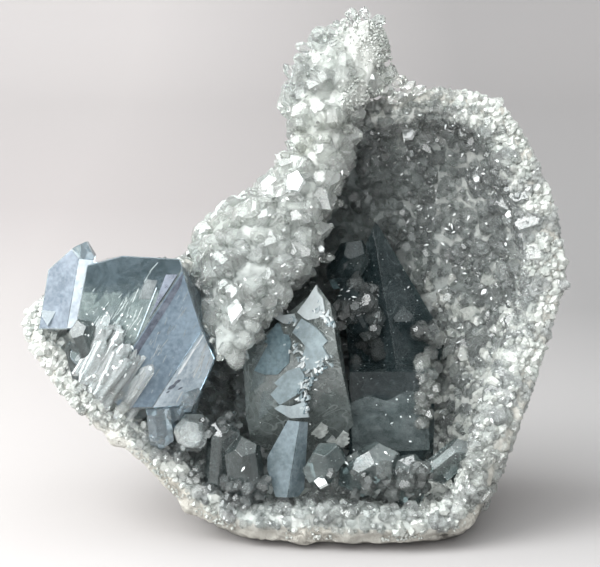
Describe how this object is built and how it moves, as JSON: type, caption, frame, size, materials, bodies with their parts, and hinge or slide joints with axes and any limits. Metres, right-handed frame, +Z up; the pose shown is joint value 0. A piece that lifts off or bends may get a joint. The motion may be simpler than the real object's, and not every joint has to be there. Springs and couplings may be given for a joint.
{
  "type": "celestite crystal cluster",
  "caption": "Open piece of a crystal-lined geode with a pale rind, a crystal-covered fin and large pale blue crystals, standing on a flat base.",
  "frame": {"origin": "bottom centre of the box, on the surface it stands on", "axes": "+Z up, the hollow opens towards -Y, +X to the right as seen from the front"},
  "size_m": [0.1462, 0.0888, 0.1403],
  "materials": {
    "rind": "granular",
    "druse": "sparkling",
    "blue_crystal": "polished",
    "smoky_crystal": "polished"
  },
  "bodies": {
    "root": {"geode_wall": "rind", "cavity_crust": "druse", "large_left_crystal": "blue_crystal", "upper_left_crystal": "blue_crystal", "small_left_crystals": "blue_crystal", "lower_left_crystals": "blue_crystal", "central_crystals": "blue_crystal", "back_crystals": "smoky_crystal", "front_left_crystals": "smoky_crystal", "front_right_crystals": "smoky_crystal", "right_crystals": "smoky_crystal"}
  },
  "joints": []
}
